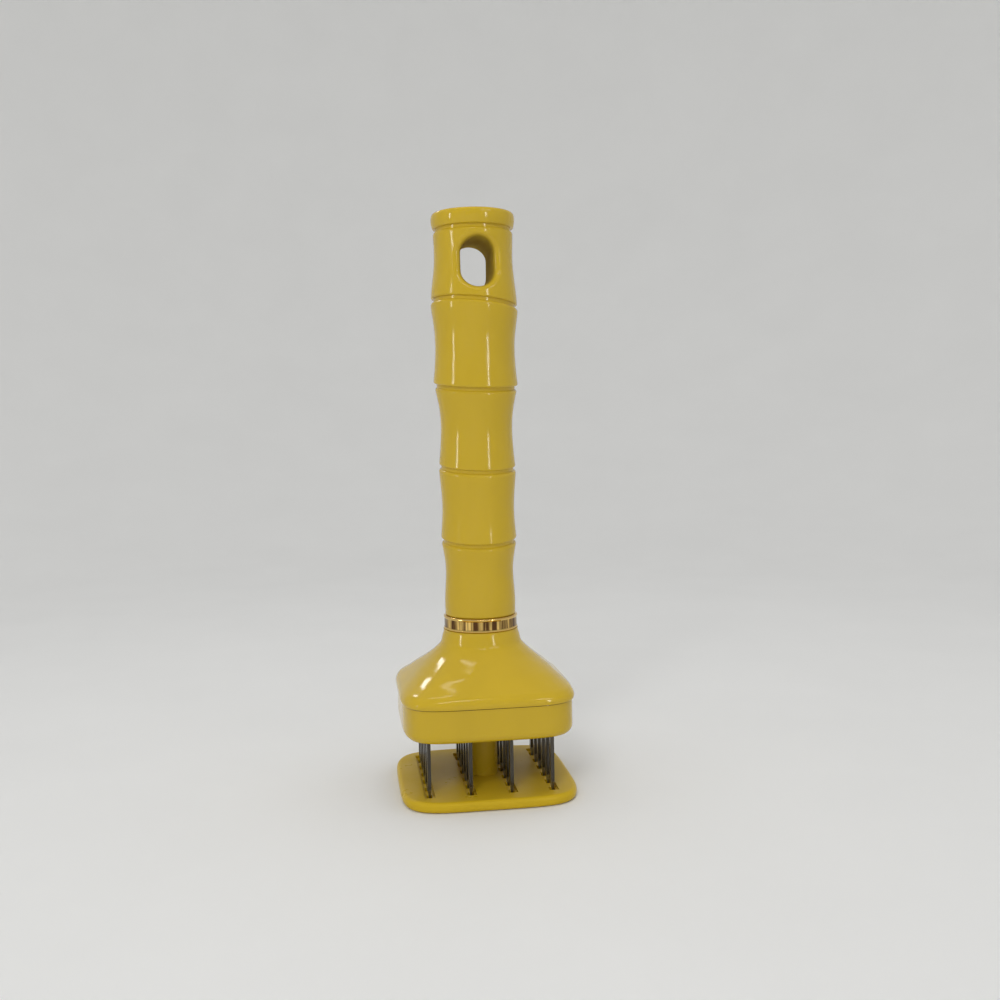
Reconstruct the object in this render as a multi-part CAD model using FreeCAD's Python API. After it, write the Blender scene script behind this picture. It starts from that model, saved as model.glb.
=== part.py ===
import FreeCAD, Part
import math
import os

# A hand-held meat tenderizer with 24 narrow blades. The hand pushes a bamboo-shaped handle down, the
# square head carries the blades through a guard plate, and a spring in the handle pushes the guard back.
# Millimetres, +Z up along the handle. The underside of the guard plate is at z = 0 and the front is -Y.

# Stack of the tool, from the table upwards
PLATE_THICK = 3.6
GUARD_TRAVEL = 19.0
SKIRT_HEIGHT = 11.7
COVER_HEIGHT = 21.6
RING_HEIGHT = 4.9
HANDLE_HEIGHT = 133.0
CAP_HEIGHT = 5.8
SKIRT_BOTTOM = PLATE_THICK + GUARD_TRAVEL
SEAM_Z = SKIRT_BOTTOM + SKIRT_HEIGHT
COLLAR_TOP = SEAM_Z + COVER_HEIGHT
RING_TOP = COLLAR_TOP + RING_HEIGHT
CAP_SEAM = RING_TOP + HANDLE_HEIGHT
TOTAL_HEIGHT = CAP_SEAM + CAP_HEIGHT

# Plan outlines: half width, half depth, and the power that sets how square the corners are
HEAD_HALF_X = 29.9
HEAD_HALF_Y = 30.35
HEAD_SQUARE = 5.0
SKIRT_INSET = 0.65
SKIRT_WALL = 2.3
SKIRT_ROUND = 2.6
SEAM_ROUND = 0.35
PLATE_HALF_X = 30.3
PLATE_HALF_Y = 30.5
PLATE_SQUARE = 4.9
PLATE_ROUND = 1.5
OUTLINE_POINTS = 48

# Floor of the head base, which holds the blades, and the clamp plate on top of it
RECESS_DEEP = 1.5
RECESS_RIM = 4.95
FLOOR_THICK = 4.0
FLOOR_SQUARE = 6.5
CLAMP_THICK = 2.5
CLAMP_MARGIN = 3.25
FLOOR_Z = SKIRT_BOTTOM + RECESS_DEEP
FLOOR_TOP = FLOOR_Z + FLOOR_THICK
CLAMP_TOP = FLOOR_TOP + CLAMP_THICK

# Tongue of the base inside the cover
TONGUE_HEIGHT = 1.3
TONGUE_THICK = 1.2
TONGUE_PLAY = 0.25
TONGUE_ROOT = 3.0

# Blades
COLUMNS = 4
ROWS = 6
COLUMN_PITCH = 14.0
ROW_PITCH = 8.0
BLADE_THICK = 1.2
BLADE_WIDE = 2.6
BLADE_TIP_Z = 1.2
BLADE_POINT = 4.2
BLADE_TIP_THICK = 0.25
BLADE_TIP_WIDE = 0.45
BLADE_HEAD_WIDE = 3.8
BLADE_HEAD_HIGH = 1.6
SLOT_PLAY = 0.08
GUARD_PLAY_X = 0.4
GUARD_PLAY_Y = 0.6

# Channels on top of the guard plate, one along each column of blades
CHANNEL_WIDE = 3.4
CHANNEL_DEEP = 1.0
CHANNEL_REACH = 3.8

# Spring and its chamber in the handle
SPRING_MEAN_R = 5.6
SPRING_WIRE = 1.0
SPRING_OPEN_TURNS = 10
SPRING_END_TURNS = 1.25
SPRING_STEPS = 16
SPRING_END_PITCH = 1.04
CHAMBER_PLAY = 0.6
CHAMBER_RISE = 33.8
CHAMBER_R = SPRING_MEAN_R + SPRING_WIRE / 2 + CHAMBER_PLAY
CHAMBER_TOP = RING_TOP + CHAMBER_RISE

# Guide post of the guard and the boss it slides in
POST_R = 5.0
POST_PLAY = 0.05
BOSS_WALL = 3.0
BOSS_HIGH = 7.9
FLANGE_PLAY = 0.2
FLANGE_THICK = 2.2
SPIGOT_PLAY = 0.7
SPIGOT_HIGH = 7.4
SPIGOT_CHAMFER = 0.6
POST_HOLLOW_R = 2.6
POST_HOLLOW_DEEP = 26.0
BOSS_R = POST_R + BOSS_WALL
BOSS_TOP = FLOOR_TOP + BOSS_HIGH
FLANGE_R = CHAMBER_R - FLANGE_PLAY
FLANGE_TOP = BOSS_TOP + FLANGE_THICK
SPIGOT_R = SPRING_MEAN_R - SPRING_WIRE / 2 - SPIGOT_PLAY
SPIGOT_TOP = FLANGE_TOP + SPIGOT_HIGH

# Neck joint: a tang below the handle sits on a ledge in the neck of the cover
RING_R = 13.0
RING_WALL = 1.88
RING_BEAD = 0.55
RING_BAND_SINK = 0.22
COLLAR_STEP = 0.1
TANG_PLAY = 0.05
TANG_DEEP = 9.7
LEDGE_THICK = 3.2
LEDGE_PLAY = 0.3
NECK_TUBE_WALL = 2.1
NECK_TUBE_DROP = 2.0
RING_BORE = RING_R - RING_WALL
TANG_R = RING_BORE - TANG_PLAY
SOCKET_R = TANG_R + TANG_PLAY
COLLAR_R = RING_R + COLLAR_STEP
TANG_BOTTOM = COLLAR_TOP - TANG_DEEP
LEDGE_BOTTOM = TANG_BOTTOM - LEDGE_THICK

# Screws: shank radius, head radius, head height, and how far the shank bites into the upper piece
NECK_SCREW = (1.0, 1.85, 1.3, 8.0)
BASE_SCREW = (1.3, 2.7, 1.5, 9.0)
GUARD_SCREW = (1.45, 3.0, 1.4, 11.0)
GUARD_SCREW_SINK = 0.4
SCREW_HEAD_ROUND = 0.35
SCREW_POINT = 0.5
RECESS_SHARE = 0.6
RECESS_LONG = 1.15
RECESS_SLOT = 0.27
NECK_SCREWS = 3
PILOT_PLAY = 0.02
PILOT_SPARE = 1.0
SHANK_PLAY = 0.2
SCREW_BOSS_WALL = 2.1
NECK_SCREW_CIRCLE = (CHAMBER_R + TANG_R) / 2
SCREW_BOSS_R = BASE_SCREW[0] + SCREW_BOSS_WALL

# Hang hole, from front to back near the top of the handle
HANG_BELOW_CAP = 12.0
HANG_WIDE = 11.2
HANG_HIGH = 16.8
HANG_ROUND = 1.7
HANG_Z = CAP_SEAM - HANG_BELOW_CAP

# Outside of the head cover, from the seam up: share of the height, share of the way out from the
# collar to the full half width, and the power of the outline
COVER_PROFILE = (
    (0.0, 0.99, 4.95),
    (0.03, 1.0, 5.0),
    (0.07, 0.995, 4.95),
    (0.12, 0.968, 4.75),
    (0.18, 0.91, 4.4),
    (0.26, 0.79, 3.75),
    (0.35, 0.668, 3.25),
    (0.44, 0.533, 2.8),
    (0.53, 0.394, 2.45),
    (0.62, 0.258, 2.2),
    (0.7, 0.15, 2.08),
    (0.77, 0.073, 2.03),
    (0.84, 0.043, 2.0),
    (0.91, 0.023, 2.0),
    (1.0, 0.0, 2.0),
)
COVER_WALL = 2.1
COVER_CEILING = 1.2
HOLLOW_STEPS = 10

# Bamboo nodes of the handle: share of the handle's height, slope along X and slope along Y
NODES = {
    "foot": (0.0, 0.0, 0.0),
    "fourth": (0.2, -0.001, 0.133),
    "third": (0.39, -0.031, 0.123),
    "second": (0.603, -0.030, 0.122),
    "first": (0.8145, -0.097, -0.053),
    "cap": (1.0, 0.0, 0.0),
}
GROOVE_WIDE = 1.1
GROOVE_DEEP = 0.75
LIP_ROUND = 0.6
SHOULDER_ROUND = 1.1
CAP_GROOVE = 0.5
# Segments between two nodes: share of the segment's length and radius, from the bottom up
SEGMENTS = (
    ("foot", "fourth", (
        (0.0, 12.35), (0.2, 12.42), (0.36, 12.2), (0.56, 11.88), (0.78, 12.25), (1.0, 13.1),
    )),
    ("fourth", "third", (
        (0.0, 13.25), (0.2, 12.88), (0.47, 12.66), (0.75, 13.05), (1.0, 13.5),
    )),
    ("third", "second", (
        (0.0, 13.4), (0.16, 12.95), (0.45, 12.5), (0.7, 12.85), (0.87, 13.65), (1.0, 14.35),
    )),
    ("second", "first", (
        (0.0, 14.75), (0.17, 14.27), (0.3, 14.0), (0.46, 13.87), (0.62, 14.02), (0.8, 14.6), (1.0, 15.15),
    )),
    ("first", "cap", (
        (0.0, 14.95), (0.15, 14.72), (0.31, 14.25), (0.47, 13.82), (0.7, 13.6), (1.0, 13.75),
    )),
)

# End cap: share of its height above the groove and radius
CAP_PROFILE = ((0.0, 13.9), (0.28, 14.3), (0.54, 14.45), (0.81, 14.3), (1.0, 13.9))
CAP_ROUND = 1.2
CAP_NECK_R = 13.1
CAP_PLUG_R = 8.0
CAP_PLUG_DEEP = 1.8
CAP_PLUG_PLAY = 0.05

# How far a cutting body runs past the face it opens, and how deep joined bodies reach into each other
OVERRUN = 1.0
OVERLAP = 1.5


def vec(x, y, z):
    return FreeCAD.Vector(x, y, z)


def cylinder(radius, bottom, top, x=0.0, y=0.0):
    return Part.makeCylinder(radius, top - bottom, vec(x, y, bottom))


def block(wide, deep, bottom, top, x=0.0, y=0.0):
    return Part.makeBox(wide, deep, top - bottom, vec(x - wide / 2, y - deep / 2, bottom))


def outline(half_x, half_y, power, z):
    """Closed smooth wire of a square with round corners, at height z."""
    points = []
    for i in range(OUTLINE_POINTS):
        angle = 2 * math.pi * i / OUTLINE_POINTS
        across = abs(math.cos(angle)) / half_x
        along = abs(math.sin(angle)) / half_y
        reach = (across ** power + along ** power) ** (-1.0 / power)
        points.append(vec(reach * math.cos(angle), reach * math.sin(angle), z))
    curve = Part.BSplineCurve()
    curve.interpolate(Points=points, PeriodicFlag=True)
    return Part.Wire([curve.toShape()])


def slab(half_x, half_y, power, bottom, top):
    face = Part.Face(outline(half_x, half_y, power, bottom))
    return face.extrude(vec(0, 0, top - bottom))


def edges_at(shape, z):
    """Edges that lie flat at height z."""
    found = []
    for edge in shape.Edges:
        box = edge.BoundBox
        if abs(box.ZMin - z) < 1e-4 and abs(box.ZMax - z) < 1e-4:
            found.append(edge)
    return found


def column_x(column):
    return (column - (COLUMNS - 1) / 2) * COLUMN_PITCH


def blade_spots():
    """Column and row numbers, counted from 1 at the left front, and the place of each blade."""
    spots = []
    for column in range(COLUMNS):
        for row in range(ROWS):
            spots.append((column + 1, row + 1, column_x(column), (row - (ROWS - 1) / 2) * ROW_PITCH))
    return spots


def base_screw_spots():
    """Midway between the blades: one screw on each side of the post, across and along the rows."""
    return ((COLUMN_PITCH, 0.0), (-COLUMN_PITCH, 0.0), (0.0, 2 * ROW_PITCH), (0.0, -2 * ROW_PITCH))


def neck_screw_spots():
    spots = []
    for i in range(NECK_SCREWS):
        angle = math.pi / 2 + 2 * math.pi * i / NECK_SCREWS
        spots.append((NECK_SCREW_CIRCLE * math.cos(angle), NECK_SCREW_CIRCLE * math.sin(angle)))
    return spots


def cross_recess(radius, z_open, depth, x, y):
    """Two crossed slots for a screwdriver, open downwards at z_open."""
    long_side = radius * RECESS_LONG
    slot = radius * RECESS_SLOT
    one = block(long_side, slot, z_open, z_open + depth, x, y)
    two = block(slot, long_side, z_open, z_open + depth, x, y)
    return one.fuse(two)


def screw(sizes, head_bottom, shank_top, x, y):
    """Screw put in from below: head at the bottom, shank pointing up."""
    shank_r, head_r, head_high = sizes[:3]
    head = cylinder(head_r, head_bottom, head_bottom + head_high, x, y)
    head = head.makeFillet(SCREW_HEAD_ROUND * head_high, edges_at(head, head_bottom))
    shank = cylinder(shank_r, head_bottom + head_high / 2, shank_top, x, y)
    shank = shank.makeChamfer(SCREW_POINT * shank_r, edges_at(shank, shank_top))
    recess = cross_recess(head_r, head_bottom, RECESS_SHARE * head_high, x, y)
    return head.fuse(shank).cut(recess).removeSplitter()


def node_plane(name):
    share, slope_x, slope_y = NODES[name]
    return RING_TOP + share * (CAP_SEAM - CAP_GROOVE - RING_TOP), slope_x, slope_y


def tilted_circle(z, slope_x, slope_y, radius):
    normal = vec(-slope_x, -slope_y, 1.0)
    return Part.Wire([Part.makeCircle(radius, vec(0, 0, z), normal)])


def bamboo_segment(lower, upper, profile):
    """One waisted segment between two tilted nodes, with rounded lips."""
    z_low, low_x, low_y = node_plane(lower)
    z_high, high_x, high_y = node_plane(upper)
    start = z_low + (0.0 if lower == "foot" else GROOVE_WIDE / 2)
    end = z_high - (0.0 if upper == "cap" else GROOVE_WIDE / 2)
    wires = []
    for share, radius in profile:
        slope_x = low_x + share * (high_x - low_x)
        slope_y = low_y + share * (high_y - low_y)
        wires.append(tilted_circle(start + share * (end - start), slope_x, slope_y, radius))
    solid = Part.makeLoft(wires, True, False)
    rims = sorted([edge for edge in solid.Edges if edge.isClosed()], key=lambda edge: edge.CenterOfMass.z)
    solid = solid.makeFillet(SHOULDER_ROUND, rims[-1:])
    rims = sorted([edge for edge in solid.Edges if edge.isClosed()], key=lambda edge: edge.CenterOfMass.z)
    return solid.makeFillet(LIP_ROUND, rims[:1])


def groove_core(below, above):
    """Short disc that joins two segments at a node and forms the bottom of the groove."""
    z, slope_x, slope_y = node_plane(below[1])
    radius = min(below[2][-1][1], above[2][0][1]) - GROOVE_DEEP
    normal = vec(-slope_x, -slope_y, 1.0)
    normal.normalize()
    half = GROOVE_WIDE / 2 + OVERLAP
    return Part.makeCylinder(radius, 2 * half, vec(0, 0, z) - normal * half, normal)


def hang_hole(reach):
    """Upright oval passage from front to back."""
    straight = HANG_HIGH - HANG_WIDE
    hole = Part.makeBox(HANG_WIDE, 2 * reach, straight, vec(-HANG_WIDE / 2, -reach, HANG_Z - straight / 2))
    ends = []
    for side in (-1, 1):
        base = vec(0, -reach, HANG_Z + side * straight / 2)
        ends.append(Part.makeCylinder(HANG_WIDE / 2, 2 * reach, base, vec(0, 1, 0)))
    return hole.fuse(ends).removeSplitter()


def hang_rims(solid):
    """Edges where the passage meets the outside of the handle."""
    rims = []
    near = hang_hole(2 * RING_R).BoundBox
    near.enlarge(0.1)
    for edge in solid.Edges:
        box = edge.BoundBox
        on_one_side = box.YMin > HANG_WIDE / 2 or box.YMax < -HANG_WIDE / 2
        if near.isInside(box) and on_one_side:
            rims.append(edge)
    return rims


def handle():
    solids = [bamboo_segment(*segment) for segment in SEGMENTS]
    for below, above in zip(SEGMENTS[:-1], SEGMENTS[1:]):
        solids.append(groove_core(below, above))
    solids.append(cylinder(CAP_NECK_R, CAP_SEAM - CAP_GROOVE - OVERLAP, CAP_SEAM))
    solids.append(cylinder(TANG_R, TANG_BOTTOM, RING_TOP + OVERLAP))
    body = solids[0].fuse(solids[1:])
    body = body.cut(hang_hole(2 * RING_R))
    body = body.makeFillet(HANG_ROUND, hang_rims(body))
    tools = [cylinder(CHAMBER_R, TANG_BOTTOM - OVERRUN, CHAMBER_TOP)]
    plug_floor = CAP_SEAM - CAP_PLUG_DEEP - CAP_PLUG_PLAY
    tools.append(cylinder(CAP_PLUG_R + CAP_PLUG_PLAY, plug_floor, CAP_SEAM + OVERRUN))
    shank_r, _, _, bite = NECK_SCREW
    for x, y in neck_screw_spots():
        top = TANG_BOTTOM + bite + PILOT_SPARE
        tools.append(cylinder(shank_r + PILOT_PLAY, TANG_BOTTOM - OVERRUN, top, x, y))
    return body.cut(tools)


def end_cap():
    """Cap above the groove, with a plug that sits in the top of the handle."""
    bottom = CAP_SEAM + CAP_GROOVE
    height = TOTAL_HEIGHT - bottom
    wires = [tilted_circle(bottom + share * height, 0.0, 0.0, radius) for share, radius in CAP_PROFILE]
    cap = Part.makeLoft(wires, True, False)
    cap = cap.makeFillet(CAP_ROUND, edges_at(cap, TOTAL_HEIGHT))
    cap = cap.makeFillet(LIP_ROUND, edges_at(cap, bottom))
    neck = cylinder(CAP_NECK_R, CAP_SEAM, bottom + OVERLAP)
    plug = cylinder(CAP_PLUG_R, CAP_SEAM - CAP_PLUG_DEEP, bottom)
    return cap.fuse([neck, plug])


def gold_ring():
    """Plated ring with a bead at each rim and a flat band between them."""
    low = COLLAR_TOP
    high = RING_TOP
    band = RING_R - RING_BAND_SINK
    inset = RING_R - RING_BEAD
    bulge = inset + RING_BEAD * math.sqrt(0.5)
    drop = RING_BEAD * (1 - math.sqrt(0.5))
    corners = [
        (inset, high), (RING_BORE, high), (RING_BORE, low), (inset, low),
        (RING_R, low + RING_BEAD), (band, low + 2 * RING_BEAD),
        (band, high - 2 * RING_BEAD), (RING_R, high - RING_BEAD),
    ]
    points = [vec(r, 0, z) for r, z in corners]
    pieces = [Part.LineSegment(points[i], points[i + 1]) for i in (0, 1, 2, 4, 5, 6)]
    pieces.append(Part.Arc(points[3], vec(bulge, 0, low + drop), points[4]))
    pieces.append(Part.Arc(points[7], vec(bulge, 0, high - drop), points[0]))
    edges = Part.__sortEdges__([piece.toShape() for piece in pieces])
    return Part.Face(Part.Wire(edges)).revolve(vec(0, 0, 0), vec(0, 0, 1), 360)


def neck_screws():
    _, _, head_high, bite = NECK_SCREW
    bottom = LEDGE_BOTTOM - head_high
    top = TANG_BOTTOM + bite
    return Part.makeCompound([screw(NECK_SCREW, bottom, top, x, y) for x, y in neck_screw_spots()])


def cover_section(share_up, share_out, power, shrink, drop):
    half_x = COLLAR_R + share_out * (HEAD_HALF_X - COLLAR_R) - shrink
    half_y = COLLAR_R + share_out * (HEAD_HALF_Y - COLLAR_R) - shrink
    return outline(half_x, half_y, power, SEAM_Z + share_up * COVER_HEIGHT - drop)


def head_cover():
    """Flared cover: thin shell, neck tube with its ledge, and four legs down to the clamp plate."""
    shell = Part.makeLoft([cover_section(*row, 0.0, 0.0) for row in COVER_PROFILE], True, False)
    inner = [cover_section(*row, COVER_WALL, COVER_CEILING) for row in COVER_PROFILE[:HOLLOW_STEPS]]
    hollow = Part.makeLoft(inner, True, False)
    hollow = hollow.cut(cylinder(SOCKET_R + NECK_TUBE_WALL, LEDGE_BOTTOM - NECK_TUBE_DROP, COLLAR_TOP))
    legs = [cylinder(SCREW_BOSS_R, CLAMP_TOP, COLLAR_TOP, x, y) for x, y in base_screw_spots()]
    feet = [cylinder(SCREW_BOSS_R, CLAMP_TOP, SEAM_Z + OVERLAP, x, y) for x, y in base_screw_spots()]
    body = shell.cut(hollow.cut(legs)).fuse(feet)
    tools = [
        cylinder(SOCKET_R, TANG_BOTTOM, COLLAR_TOP + OVERRUN),
        cylinder(CHAMBER_R + LEDGE_PLAY, CLAMP_TOP, COLLAR_TOP),
        cylinder(SOCKET_R, SEAM_Z + TONGUE_HEIGHT, LEDGE_BOTTOM).cut(legs),
    ]
    clearance_r = NECK_SCREW[0] + SHANK_PLAY
    for x, y in neck_screw_spots():
        tools.append(cylinder(clearance_r, LEDGE_BOTTOM - OVERRUN, TANG_BOTTOM + OVERRUN, x, y))
    shank_r, _, _, bite = BASE_SCREW
    pilot_top = CLAMP_TOP + bite + PILOT_SPARE
    for x, y in base_screw_spots():
        tools.append(cylinder(shank_r + PILOT_PLAY, CLAMP_TOP - OVERRUN, pilot_top, x, y))
    return body.cut(tools)


def tongue(wall_x, wall_y):
    """Lip that stands up inside the base's wall and centres the cover."""
    out_x = wall_x - TONGUE_PLAY
    out_y = wall_y - TONGUE_PLAY
    bottom = SEAM_Z - TONGUE_ROOT
    top = SEAM_Z + TONGUE_HEIGHT
    bite = SKIRT_WALL / 4
    lip = slab(out_x, out_y, HEAD_SQUARE, bottom, top)
    root = slab(wall_x + bite, wall_y + bite, HEAD_SQUARE, bottom, SEAM_Z - TONGUE_ROOT / 4)
    in_x = out_x - TONGUE_THICK
    in_y = out_y - TONGUE_THICK
    return lip.fuse(root).cut(slab(in_x, in_y, HEAD_SQUARE, bottom - OVERRUN, top + OVERRUN))


def head_base():
    """Skirt shell with the slotted floor that holds the blades and the boss that guides the post."""
    half_x = HEAD_HALF_X - SKIRT_INSET
    half_y = HEAD_HALF_Y - SKIRT_INSET
    wall_x = half_x - SKIRT_WALL
    wall_y = half_y - SKIRT_WALL
    body = slab(half_x, half_y, HEAD_SQUARE, SKIRT_BOTTOM, SEAM_Z)
    body = body.makeFillet(SKIRT_ROUND, edges_at(body, SKIRT_BOTTOM))
    body = body.makeFillet(SEAM_ROUND, edges_at(body, SEAM_Z))
    inside = slab(wall_x, wall_y, HEAD_SQUARE, FLOOR_TOP, SEAM_Z + OVERRUN)
    rim_x = half_x - RECESS_RIM
    rim_y = half_y - RECESS_RIM
    recess = slab(rim_x, rim_y, FLOOR_SQUARE, SKIRT_BOTTOM - OVERRUN, FLOOR_Z)
    body = body.cut([inside, recess])
    body = body.fuse([tongue(wall_x, wall_y), cylinder(BOSS_R, FLOOR_Z, BOSS_TOP)])
    tools = [cylinder(POST_R + POST_PLAY, SKIRT_BOTTOM, BOSS_TOP + OVERRUN)]
    thick = BLADE_THICK + 2 * SLOT_PLAY
    wide = BLADE_WIDE + 2 * SLOT_PLAY
    head = BLADE_HEAD_WIDE + 2 * SLOT_PLAY
    for _, _, x, y in blade_spots():
        tools.append(block(thick, wide, SKIRT_BOTTOM, FLOOR_TOP + OVERRUN, x, y))
        tools.append(block(thick, head, FLOOR_TOP - BLADE_HEAD_HIGH, FLOOR_TOP + OVERRUN, x, y))
    shank_r, head_r, head_high, _ = BASE_SCREW
    for x, y in base_screw_spots():
        tools.append(cylinder(shank_r + SHANK_PLAY, SKIRT_BOTTOM, FLOOR_TOP + OVERRUN, x, y))
        tools.append(cylinder(head_r + SHANK_PLAY, SKIRT_BOTTOM, FLOOR_Z + head_high, x, y))
    return body.cut(tools)


def blade_clamp():
    """Plate that lies on the blade heads and keeps them in their pockets."""
    half_x = HEAD_HALF_X - SKIRT_INSET - SKIRT_WALL - CLAMP_MARGIN
    half_y = HEAD_HALF_Y - SKIRT_INSET - SKIRT_WALL - CLAMP_MARGIN
    plate = slab(half_x, half_y, FLOOR_SQUARE, FLOOR_TOP, CLAMP_TOP)
    low = FLOOR_TOP - OVERRUN
    high = CLAMP_TOP + OVERRUN
    tools = [cylinder(BOSS_R + SHANK_PLAY, low, high)]
    for x, y in base_screw_spots():
        tools.append(cylinder(BASE_SCREW[0] + SHANK_PLAY, low, high, x, y))
    return plate.cut(tools)


def base_screws():
    top = CLAMP_TOP + BASE_SCREW[3]
    return Part.makeCompound([screw(BASE_SCREW, FLOOR_Z, top, x, y) for x, y in base_screw_spots()])


def rectangle(wide, deep, z, x, y):
    corners = []
    for side_x, side_y in ((-1, -1), (1, -1), (1, 1), (-1, 1), (-1, -1)):
        corners.append(vec(x + side_x * wide / 2, y + side_y * deep / 2, z))
    return Part.makePolygon(corners)


def blade(x, y):
    """Flat steel strip with a small head on top and a ground point below."""
    shoulder_z = BLADE_TIP_Z + BLADE_POINT
    tip = rectangle(BLADE_TIP_THICK, BLADE_TIP_WIDE, BLADE_TIP_Z, x, y)
    shoulder = rectangle(BLADE_THICK, BLADE_WIDE, shoulder_z, x, y)
    point = Part.makeLoft([tip, shoulder], True, True)
    shank = block(BLADE_THICK, BLADE_WIDE, shoulder_z, FLOOR_TOP, x, y)
    head = block(BLADE_THICK, BLADE_HEAD_WIDE, FLOOR_TOP - BLADE_HEAD_HIGH, FLOOR_TOP, x, y)
    return point.fuse([shank, head]).removeSplitter()


def guide_post():
    """Shank that slides in the boss, flange that stops it, and spigot that centres the spring."""
    shank = cylinder(POST_R, PLATE_THICK, BOSS_TOP + FLANGE_THICK / 2)
    flange = cylinder(FLANGE_R, BOSS_TOP, FLANGE_TOP)
    spigot = cylinder(SPIGOT_R, BOSS_TOP + FLANGE_THICK / 2, SPIGOT_TOP)
    spigot = spigot.makeChamfer(SPIGOT_CHAMFER, edges_at(spigot, SPIGOT_TOP))
    body = shank.fuse([flange, spigot]).removeSplitter()
    hollow = cylinder(POST_HOLLOW_R, SPIGOT_TOP - POST_HOLLOW_DEEP, SPIGOT_TOP + OVERRUN)
    pilot_top = guard_screw_seat() + GUARD_SCREW[3] + PILOT_SPARE
    pilot = cylinder(GUARD_SCREW[0] + PILOT_PLAY, PLATE_THICK - OVERRUN, pilot_top)
    return body.cut([hollow, pilot])


def guard_screw_seat():
    """Height where the head of the guard's screw bears on the plate."""
    return GUARD_SCREW_SINK + GUARD_SCREW[2]


def guard_plate():
    """Plate that covers the points: rounded rim, a channel along each column, a hole for each blade."""
    body = slab(PLATE_HALF_X, PLATE_HALF_Y, PLATE_SQUARE, 0.0, PLATE_THICK)
    body = body.makeFillet(PLATE_ROUND, edges_at(body, 0.0) + edges_at(body, PLATE_THICK))
    tools = []
    reach = (ROWS - 1) * ROW_PITCH + 2 * CHANNEL_REACH
    floor = PLATE_THICK - CHANNEL_DEEP
    for column in range(COLUMNS):
        tools.append(block(CHANNEL_WIDE, reach, floor, PLATE_THICK + OVERRUN, column_x(column), 0.0))
    hole_x = BLADE_THICK + 2 * GUARD_PLAY_X
    hole_y = BLADE_WIDE + 2 * GUARD_PLAY_Y
    for _, _, x, y in blade_spots():
        tools.append(block(hole_x, hole_y, -OVERRUN, PLATE_THICK, x, y))
    shank_r, head_r, _, _ = GUARD_SCREW
    tools.append(cylinder(shank_r + SHANK_PLAY, -OVERRUN, PLATE_THICK + OVERRUN))
    tools.append(cylinder(head_r + SHANK_PLAY, -OVERRUN, guard_screw_seat()))
    return body.cut(tools)


def guard_screw():
    return screw(GUARD_SCREW, GUARD_SCREW_SINK, guard_screw_seat() + GUARD_SCREW[3], 0.0, 0.0)


def spring_height(turn, bottom, top):
    """Height of the wire's centre after so many turns: closed end coils, open coils between."""
    total = SPRING_OPEN_TURNS + 2 * SPRING_END_TURNS
    closed = SPRING_WIRE * SPRING_END_PITCH
    low = bottom + closed * SPRING_END_TURNS
    high = top - closed * SPRING_END_TURNS
    if turn < SPRING_END_TURNS:
        return bottom + closed * turn
    if turn > total - SPRING_END_TURNS:
        return top - closed * (total - turn)
    return low + (high - low) * (turn - SPRING_END_TURNS) / SPRING_OPEN_TURNS


def return_spring():
    """Compression spring between the post's flange and the end of the chamber."""
    bottom = FLANGE_TOP + SPRING_WIRE / 2
    top = CHAMBER_TOP - SPRING_WIRE / 2
    total = SPRING_OPEN_TURNS + 2 * SPRING_END_TURNS
    points = []
    for i in range(int(total * SPRING_STEPS) + 1):
        turn = i / SPRING_STEPS
        angle = 2 * math.pi * turn
        z = spring_height(turn, bottom, top)
        points.append(vec(SPRING_MEAN_R * math.cos(angle), SPRING_MEAN_R * math.sin(angle), z))
    curve = Part.BSplineCurve()
    curve.interpolate(Points=points)
    path = Part.Wire([curve.toShape()])
    start = curve.value(curve.FirstParameter)
    direction = curve.tangent(curve.FirstParameter)[0]
    circle = Part.Wire([Part.makeCircle(SPRING_WIRE / 2, start, direction)])
    return path.makePipeShell([circle], True, True)


def save(name, shape):
    solids = shape.Solids
    print(name, "solids", len(solids), "valid", shape.isValid(), "volume", round(shape.Volume, 2))
    out = solids[0] if len(solids) == 1 else Part.makeCompound(solids)
    out.exportStep("parts/" + name + ".step")


def main():
    os.makedirs("parts", exist_ok=True)
    makers = (
        handle, end_cap, gold_ring, neck_screws, head_cover, head_base, blade_clamp, base_screws,
        guide_post, guard_plate, guard_screw, return_spring,
    )
    for maker in makers:
        save(maker.__name__, maker())
    for column, row, x, y in blade_spots():
        save("blade_c%d_r%d" % (column, row), blade(x, y))


main()
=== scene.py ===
import math

import bpy
from mathutils import Matrix, Vector


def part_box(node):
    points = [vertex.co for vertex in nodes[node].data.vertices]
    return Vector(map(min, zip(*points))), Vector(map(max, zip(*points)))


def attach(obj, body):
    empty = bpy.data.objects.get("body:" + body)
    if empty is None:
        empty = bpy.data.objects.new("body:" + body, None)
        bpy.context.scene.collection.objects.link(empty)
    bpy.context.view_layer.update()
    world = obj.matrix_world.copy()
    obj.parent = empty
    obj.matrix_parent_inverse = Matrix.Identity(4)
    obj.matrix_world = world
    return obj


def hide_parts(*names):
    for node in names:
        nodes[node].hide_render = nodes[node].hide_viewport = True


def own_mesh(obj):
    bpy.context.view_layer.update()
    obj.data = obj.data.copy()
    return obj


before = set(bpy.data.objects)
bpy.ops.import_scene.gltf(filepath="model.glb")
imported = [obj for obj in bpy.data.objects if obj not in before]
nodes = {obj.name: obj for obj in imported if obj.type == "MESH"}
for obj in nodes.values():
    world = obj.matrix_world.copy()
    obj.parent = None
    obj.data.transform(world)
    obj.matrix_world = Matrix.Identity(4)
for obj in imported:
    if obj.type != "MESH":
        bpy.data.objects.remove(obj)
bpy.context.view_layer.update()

MM = 0.001

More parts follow.
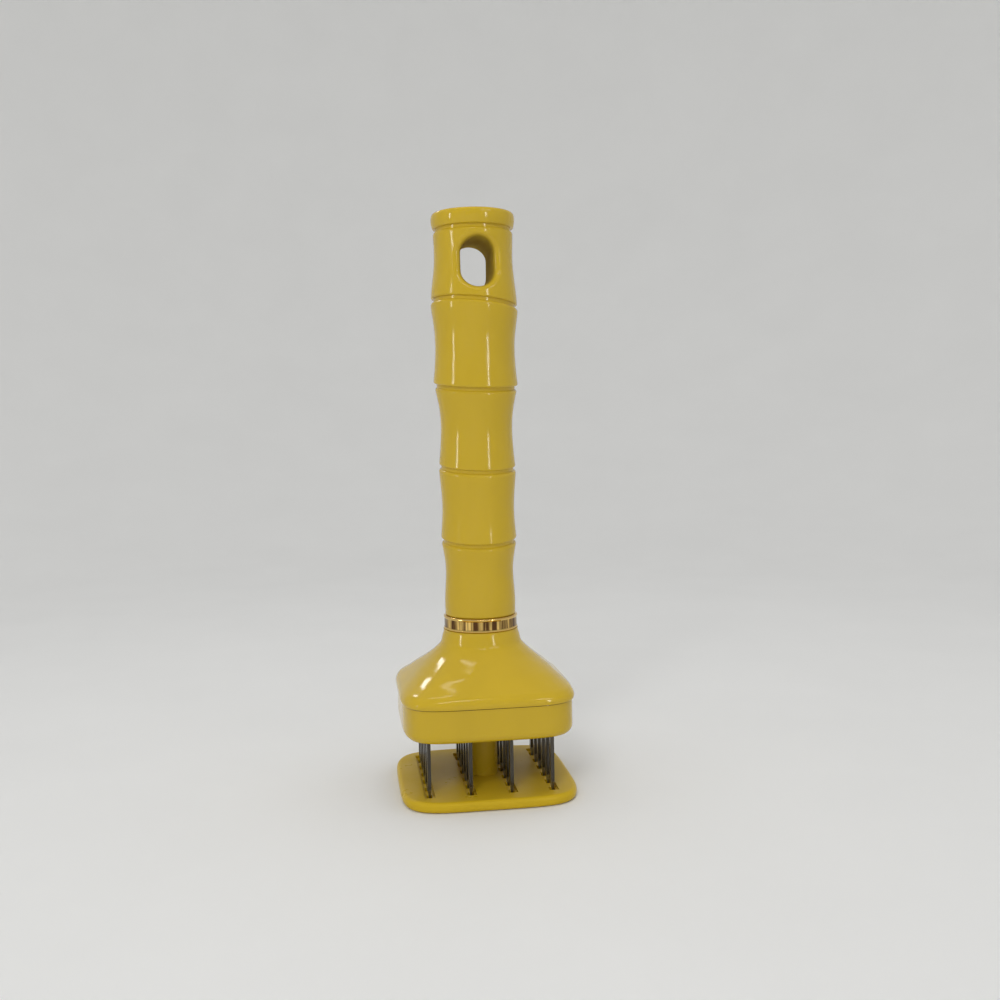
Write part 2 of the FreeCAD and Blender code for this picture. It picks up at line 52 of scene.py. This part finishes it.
# Camera: place in the part's frame, angles in degrees, and focal length in pixels of the picture
CAMERA_PLACE = Vector((-47.2, -374.5, 127.1)) * MM
CAMERA_YAW = 8.35
CAMERA_PITCH = -4.0
CAMERA_ROLL = -1.10
FOCAL_PIXELS = 1078.0
PICTURE_PIXELS = 1000.0
SENSOR_MM = 36.0
CLIP_START = 0.01

# Base colours
YELLOW = (0.60, 0.405, 0.017)
STEEL = (0.082, 0.074, 0.062)
GROUND_STEEL = (0.36, 0.36, 0.37)
GOLD = (0.76, 0.52, 0.16)
# Dark of the painted reflection on the gold ring
REFLECTED_DARK_GOLD = (0.11, 0.052, 0.02)
ZINC = (0.55, 0.55, 0.57)
PALE = (0.84, 0.84, 0.83)

# Drawn out patterns, in repeats for each metre along x, y and z
FLOW_STREAKS = (70.0, 70.0, 9.0)
HANDLING_MARKS = (900.0, 900.0, 60.0)
ROLLING_STREAKS = (2600.0, 2600.0, 50.0)
GRINDING_LINES = (90.0, 90.0, 6000.0)
# Painted reflection of a room's dark and light stripes on the gold ring
ROOM_REFLECTION_STRIPES = (620.0, 620.0, 25.0)

# Hang hole in the handle: height of its middle as a share of the handle, its size and the fade
# round it in metres, and the painted shade tone and the roughness of its wall
PASSAGE_SHARE = 0.9187
PASSAGE_STRAIGHT = 0.0056
PASSAGE_RADIUS = 0.0056
PASSAGE_FADE = (0.0001, 0.0007)
PASSAGE_SHADE_TONE = 0.72
PASSAGE_ROUGH = 0.95

# Painted shadow of the gap at the seam between cover and base: its height above the feet of the cover's
# legs, and the width and tone of the painted shadow line
SEAM_ABOVE_LEGS = 0.0037
SEAM_SHADOW_WIDTH = 0.0004
SEAM_SHADOW_TONE = 0.16

# Half the height of the ring's band between its beads, which holds the painted reflection, and the fade
# at its edges
RING_BAND = 0.0016
RING_FADE = (-0.0002, 0.0001)

# Height up to which the blades are ground, the fade there, and the roughness of the ground part
GROUND_TOP = 0.0054
GROUND_FADE = 0.0003
GROUND_ROUGH = 0.38

# Stage: flat floor, the bend round it, and the wall's height in metres, and the steps of its mesh
STAGE_FLAT = 0.55
STAGE_BEND = 0.65
STAGE_HIGH = 1.3
FLAT_STEPS = 6
BEND_STEPS = 12
SPOKES = 96

# Lamps: name, place, width and length in metres, power in watts, and whether surfaces mirror them
LAMPS = (
    ("key", (-0.35, -0.80, 0.75), 0.36, 0.36, 3.1, False),
    ("top", (0.05, 0.02, 1.10), 0.50, 0.50, 2.4, False),
    ("ridge", (-0.41, 0.65, 0.73), 0.07, 0.15, 0.4, True),
    ("overhead", (-0.17, 0.12, 1.07), 0.05, 0.36, 0.25, True),
    ("rim_left", (-0.05, -0.62, 0.87), 0.30, 0.05, 0.5, True),
    ("rim_right", (0.44, -0.68, 0.68), 0.40, 0.05, 0.5, True),
    ("low_left", (-0.85, -0.31, 0.29), 0.05, 0.34, 0.8, True),
    ("low_right", (0.45, -0.78, 0.29), 0.05, 0.34, 0.8, True),
)
LAMPS_AIM = Vector((0.0, 0.0, 0.09))
WORLD_STRENGTH = 0.50

BLADES = [name for name in nodes if name.startswith("blade_c")]


def new_material(name):
    material = bpy.data.materials.new(name)
    material.use_nodes = True
    tree = material.node_tree
    shader = tree.nodes["Principled BSDF"]
    return material, tree, shader


def set_inputs(node, **values):
    for key, value in values.items():
        node.inputs[key.replace("_", " ")].default_value = value


def feed(tree, socket, value):
    """Sets a socket to a number or a colour, or links another node's output to it."""
    if isinstance(value, float):
        socket.default_value = value
    elif isinstance(value, tuple):
        socket.default_value = (*value, 1.0)
    else:
        tree.links.new(value, socket)


def noise(tree, vector, scale, detail=2.0, rough=0.5):
    node = tree.nodes.new("ShaderNodeTexNoise")
    set_inputs(node, Scale=scale, Detail=detail, Roughness=rough)
    tree.links.new(vector, node.inputs["Vector"])
    return node.outputs["Fac"]


def ramp(tree, factor, low, high, start=0.3, end=0.7):
    """Goes from low to high while the factor goes from start to end."""
    node = tree.nodes.new("ShaderNodeMapRange")
    set_inputs(node, From_Min=start, From_Max=end, To_Min=low, To_Max=high)
    tree.links.new(factor, node.inputs["Value"])
    return node.outputs["Result"]


def mix_colours(tree, factor, one, two):
    node = tree.nodes.new("ShaderNodeMix")
    node.data_type = "RGBA"
    feed(tree, node.inputs[0], factor)
    feed(tree, node.inputs[6], one)
    feed(tree, node.inputs[7], two)
    return node.outputs[2]


def blend_values(tree, factor, one, two):
    node = tree.nodes.new("ShaderNodeMix")
    feed(tree, node.inputs[0], factor)
    feed(tree, node.inputs[2], one)
    feed(tree, node.inputs[3], two)
    return node.outputs[0]


def math_node(tree, operation, *values):
    node = tree.nodes.new("ShaderNodeMath")
    node.operation = operation
    for socket, value in zip(node.inputs, values):
        feed(tree, socket, value)
    return node.outputs["Value"]


def shade(colour, factor):
    return tuple(channel * factor for channel in colour)


def bump(tree, height, strength, distance, below=None):
    node = tree.nodes.new("ShaderNodeBump")
    set_inputs(node, Strength=strength, Distance=distance)
    tree.links.new(height, node.inputs["Height"])
    if below is not None:
        tree.links.new(below, node.inputs["Normal"])
    return node.outputs["Normal"]


def object_space(tree, scale=(1.0, 1.0, 1.0)):
    coordinates = tree.nodes.new("ShaderNodeTexCoord")
    mapping = tree.nodes.new("ShaderNodeMapping")
    mapping.inputs["Scale"].default_value = scale
    tree.links.new(coordinates.outputs["Object"], mapping.inputs["Vector"])
    return mapping.outputs["Vector"]


def object_axes(tree):
    """Outputs X, Y and Z of the place on the piece."""
    split = tree.nodes.new("ShaderNodeSeparateXYZ")
    tree.links.new(object_space(tree), split.inputs["Vector"])
    return split.outputs


def drawn_out(tree, pattern, detail, rough=0.5):
    """Noise with a scale of its own along each axis of the piece."""
    return noise(tree, object_space(tree, pattern), 1.0, detail, rough)


def finish_surface(tree, shader, colour, rough, normal):
    tree.links.new(colour, shader.inputs["Base Color"])
    tree.links.new(rough, shader.inputs["Roughness"])
    tree.links.new(normal, shader.inputs["Normal"])


def yellow_plastic(name, gloss=0.11, tone=1.0, level=0.38, passage=False, seam_shadow=False):
    """Glossy moulded ABS: faint flow streaks along the moulding, fine waviness and handling marks, with
    painted shade on the hang hole's wall and a painted shadow line at the seam where asked.
    """
    material, tree, shader = new_material(name)
    place = object_space(tree)
    cloud = ramp(tree, drawn_out(tree, FLOW_STREAKS, 3.0), 0.0, 1.0)
    colour = mix_colours(tree, cloud, shade(YELLOW, 0.965 * tone), shade(YELLOW, 1.025 * tone))
    speck = ramp(tree, noise(tree, place, 2600.0, detail=1.0), 0.0, 1.0, start=0.72, end=0.82)
    colour = mix_colours(tree, speck, colour, shade(YELLOW, 0.90 * tone))
    smear = ramp(tree, noise(tree, place, 95.0, detail=4.0, rough=0.6), gloss * 0.85, gloss * 1.3)
    if passage:
        # Painted shade: the hang hole's wall is darkened as if in shadow, and made rougher
        inside = passage_mask(tree)
        colour = mix_colours(tree, inside, colour, shade(YELLOW, PASSAGE_SHADE_TONE * tone))
        smear = blend_values(tree, inside, smear, PASSAGE_ROUGH)
    if seam_shadow:
        # Painted shadow: a dark line on the base just under the cover, where the seam gap lies in shade
        colour = mix_colours(tree, seam_shadow_mask(tree), colour, shade(YELLOW, SEAM_SHADOW_TONE * tone))
    wave = bump(tree, noise(tree, place, 170.0), 0.06, 0.0004)
    grain = bump(tree, noise(tree, place, 1900.0), 0.03, 0.0001, wave)
    scratch = ramp(tree, drawn_out(tree, HANDLING_MARKS, 3.0), 0.0, 1.0, start=0.68, end=0.73)
    finish_surface(tree, shader, colour, smear, bump(tree, scratch, 0.03, 0.0001, grain))
    set_inputs(shader, IOR=1.50, Specular_IOR_Level=level)
    return material


def passage_mask(tree):
    """1 on the wall of the hang hole and 0 outside it, from the place on the handle."""
    low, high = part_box("handle")
    axis_z = low[2] + PASSAGE_SHARE * (high[2] - low[2])
    axes = object_axes(tree)
    above = math_node(tree, "ABSOLUTE", math_node(tree, "SUBTRACT", axes["Z"], axis_z))
    above = math_node(tree, "MAXIMUM", math_node(tree, "SUBTRACT", above, PASSAGE_STRAIGHT / 2), 0.0)
    across_squared = math_node(tree, "MULTIPLY", axes["X"], axes["X"])
    above_squared = math_node(tree, "MULTIPLY", above, above)
    reach = math_node(tree, "SQRT", math_node(tree, "ADD", above_squared, across_squared))
    start, end = PASSAGE_FADE
    return ramp(tree, reach, 1.0, 0.0, PASSAGE_RADIUS + start, PASSAGE_RADIUS + end)


def seam_shadow_mask(tree):
    """1 in the painted shadow line at the top of the base's wall, where it meets the cover."""
    seam_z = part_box("head_cover")[0][2] + SEAM_ABOVE_LEGS
    return ramp(tree, object_axes(tree)["Z"], 0.0, 1.0, seam_z - SEAM_SHADOW_WIDTH, seam_z - SEAM_SHADOW_WIDTH / 2)


def inner_plastic(name):
    """Unpolished moulding that stays inside the head."""
    material, tree, shader = new_material(name)
    place = object_space(tree)
    cloud = ramp(tree, noise(tree, place, 60.0, detail=3.0), 0.0, 1.0)
    colour = mix_colours(tree, cloud, shade(YELLOW, 0.85), shade(YELLOW, 0.95))
    rough = ramp(tree, noise(tree, place, 300.0, detail=3.0), 0.42, 0.58)
    grain = bump(tree, noise(tree, place, 1500.0, detail=3.0), 0.25, 0.0001)
    finish_surface(tree, shader, colour, rough, grain)
    return material


def blade_steel(name):
    """Stainless strip: rolling streaks down its length, and cross lines on the brighter ground point."""
    material, tree, shader = new_material(name)
    height = object_axes(tree)["Z"]
    ground = ramp(tree, height, 1.0, 0.0, GROUND_TOP - GROUND_FADE, GROUND_TOP + GROUND_FADE)
    streak = drawn_out(tree, ROLLING_STREAKS, 2.0)
    cross = drawn_out(tree, GRINDING_LINES, 3.0, rough=0.6)
    streak_share = ramp(tree, streak, 0.0, 1.0)
    cross_share = ramp(tree, cross, 0.0, 1.0)
    rolled = mix_colours(tree, streak_share, shade(STEEL, 0.75), shade(STEEL, 1.25))
    worked = mix_colours(tree, cross_share, shade(GROUND_STEEL, 0.80), shade(GROUND_STEEL, 1.15))
    colour = mix_colours(tree, ground, rolled, worked)
    rough = blend_values(tree, ground, ramp(tree, streak, 0.20, 0.34), GROUND_ROUGH)
    first = bump(tree, streak, 0.12, 0.00005)
    finish_surface(tree, shader, colour, rough, bump(tree, cross, 0.15, 0.00003, first))
    set_inputs(shader, Metallic=1.0)
    return material


def gold_with_painted_reflection(name):
    """Plated ring: bright beads, and between them a painted reflection, the dark and light stripes of a
    room painted into the colour.
    """
    material, tree, shader = new_material(name)
    place = object_space(tree)
    low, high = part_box("gold_ring")
    off_middle = math_node(tree, "SUBTRACT", object_axes(tree)["Z"], (low[2] + high[2]) / 2)
    off_middle = math_node(tree, "ABSOLUTE", off_middle)
    start, end = RING_FADE
    band = ramp(tree, off_middle, 1.0, 0.0, RING_BAND + start, RING_BAND + end)
    # Painted reflection: stripes of a room in the colour of the band between the beads
    room_reflection = drawn_out(tree, ROOM_REFLECTION_STRIPES, 3.0, rough=0.6)
    reflection_stripe = ramp(tree, room_reflection, 0.0, 1.0, start=0.47, end=0.66)
    colour = mix_colours(tree, band, GOLD, mix_colours(tree, reflection_stripe, REFLECTED_DARK_GOLD, shade(GOLD, 1.25)))
    rough = ramp(tree, noise(tree, place, 420.0, detail=3.0), 0.04, 0.10)
    wave = bump(tree, noise(tree, place, 160.0, detail=1.0), 0.10, 0.0002)
    grain = bump(tree, noise(tree, place, 1600.0), 0.05, 0.00005, wave)
    finish_surface(tree, shader, colour, rough, grain)
    set_inputs(shader, Metallic=1.0)
    return material


def plain_metal(name, colour, low, high):
    """Drawn or turned steel for the spring and the screws, with roughness from low to high."""
    material, tree, shader = new_material(name)
    place = object_space(tree)
    tint = ramp(tree, noise(tree, place, 500.0, detail=3.0), 0.0, 1.0)
    tinted = mix_colours(tree, tint, shade(colour, 0.88), shade(colour, 1.06))
    rough = ramp(tree, noise(tree, place, 900.0, detail=3.0), low, high)
    finish_surface(tree, shader, tinted, rough, bump(tree, noise(tree, place, 2400.0), 0.12, 0.00005))
    set_inputs(shader, Metallic=1.0)
    return material


def dress(names, material):
    for name in names:
        mesh = nodes[name].data
        mesh.materials.clear()
        mesh.materials.append(material)


def dress_all():
    dress(["handle"], yellow_plastic("handle_abs", passage=True))
    dress(["end_cap"], yellow_plastic("cap_abs"))
    dress(["head_cover"], yellow_plastic("cover_abs", gloss=0.10, tone=1.02))
    dress(["head_base"], yellow_plastic("base_abs", gloss=0.12, seam_shadow=True))
    dress(["guard_plate"], yellow_plastic("guard_abs", gloss=0.30, tone=1.04, level=0.12))
    dress(["guide_post"], yellow_plastic("post_abs", gloss=0.26, tone=0.95, level=0.20))
    dress(["blade_clamp"], inner_plastic("clamp_abs"))
    dress(BLADES, blade_steel("blade_steel"))
    dress(["gold_ring"], gold_with_painted_reflection("gold_with_painted_reflection"))
    screws = ["neck_screws", "base_screws", "guard_screw"]
    dress(screws, plain_metal("zinc_steel", ZINC, 0.22, 0.36))
    dress(["return_spring"], plain_metal("spring_steel", ZINC, 0.28, 0.40))


def make_spring():
    """Stands for the CAD's spring, whose upper end is fixed: a copy with a mesh of its own, on the tool's
    body, while the CAD's spring is hidden.
    """
    source = nodes["return_spring"]
    coil = bpy.data.objects.new("coil_spring", source.data.copy())
    bpy.context.scene.collection.objects.link(coil)
    coil.matrix_world = source.matrix_world.copy()
    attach(coil, "tool")
    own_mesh(coil)
    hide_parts("return_spring")


def make_camera():
    yaw = math.radians(CAMERA_YAW)
    pitch = math.radians(CAMERA_PITCH)
    roll = math.radians(CAMERA_ROLL)
    ahead = Vector((math.sin(yaw) * math.cos(pitch), math.cos(yaw) * math.cos(pitch), math.sin(pitch)))
    level = Vector((math.cos(yaw), -math.sin(yaw), 0.0))
    above = level.cross(ahead)
    right = level * math.cos(roll) + above * math.sin(roll)
    up = above * math.cos(roll) - level * math.sin(roll)
    turn = Matrix((right, up, -ahead)).transposed().to_4x4()
    camera = bpy.data.objects.new("camera", bpy.data.cameras.new("camera"))
    bpy.context.scene.collection.objects.link(camera)
    camera.matrix_world = Matrix.Translation(CAMERA_PLACE) @ turn
    camera.data.sensor_width = SENSOR_MM
    camera.data.lens = FOCAL_PIXELS / PICTURE_PIXELS * SENSOR_MM
    camera.data.clip_start = CLIP_START
    bpy.context.scene.camera = camera


def stage_material():
    """Pale matt paper with a faint tooth."""
    material, tree, shader = new_material("pale_paper")
    place = object_space(tree)
    tint = ramp(tree, noise(tree, place, 14.0, detail=4.0), 0.0, 1.0)
    colour = mix_colours(tree, tint, shade(PALE, 0.99), shade(PALE, 1.01))
    tree.links.new(colour, shader.inputs["Base Color"])
    tree.links.new(bump(tree, noise(tree, place, 900.0), 0.05, 0.0002), shader.inputs["Normal"])
    set_inputs(shader, Roughness=0.9)
    return material


def stage_profile():
    """Radius and height along the sweep, from the floor to the top of the wall."""
    profile = [(STAGE_FLAT * i / FLAT_STEPS, 0.0) for i in range(1, FLAT_STEPS + 1)]
    for i in range(1, BEND_STEPS + 1):
        angle = math.pi / 2 * i / BEND_STEPS
        profile.append((STAGE_FLAT + STAGE_BEND * math.sin(angle), STAGE_BEND * (1 - math.cos(angle))))
    profile.append((STAGE_FLAT + STAGE_BEND, STAGE_HIGH))
    return profile


def stage_mesh(profile):
    verts = [(0.0, 0.0, 0.0)]
    for radius, z in profile:
        for k in range(SPOKES):
            angle = 2 * math.pi * k / SPOKES
            verts.append((radius * math.cos(angle), radius * math.sin(angle), z))
    faces = [(0, 1 + k, 1 + (k + 1) % SPOKES) for k in range(SPOKES)]
    for i in range(len(profile) - 1):
        low = 1 + i * SPOKES
        for k in range(SPOKES):
            after = (k + 1) % SPOKES
            faces.append((low + k, low + SPOKES + k, low + SPOKES + after, low + after))
    mesh = bpy.data.meshes.new("sweep")
    mesh.from_pydata(verts, [], faces)
    for face in mesh.polygons:
        face.use_smooth = True
    return mesh


def make_stage():
    """Round floor that sweeps up into a wall, so that every side has a pale background."""
    mesh = stage_mesh(stage_profile())
    sweep = bpy.data.objects.new("sweep", mesh)
    bpy.context.scene.collection.objects.link(sweep)
    mesh.materials.append(stage_material())


def area_light(name, place, width, length, power, mirrored):
    """Lamp that no camera sees. One that is mirrored makes highlights only, and the others light only."""
    data = bpy.data.lights.new(name, "AREA")
    data.shape = "RECTANGLE"
    data.size = width
    data.size_y = length
    data.energy = power
    lamp = bpy.data.objects.new(name, data)
    bpy.context.scene.collection.objects.link(lamp)
    lamp.location = place
    lamp.visible_camera = False
    lamp.visible_glossy = mirrored
    lamp.visible_diffuse = not mirrored
    lamp.rotation_euler = (LAMPS_AIM - Vector(place)).to_track_quat("-Z", "Y").to_euler()


def make_world():
    world = bpy.data.worlds.new("soft_studio")
    bpy.context.scene.world = world
    world.use_nodes = True
    background = world.node_tree.nodes["Background"]
    background.inputs["Color"].default_value = (1.0, 1.0, 1.0, 1.0)
    background.inputs["Strength"].default_value = WORLD_STRENGTH


make_camera()
dress_all()
make_spring()
make_stage()
for lamp in LAMPS:
    area_light(*lamp)
make_world()

bpy.context.scene.view_settings.view_transform = "Standard"
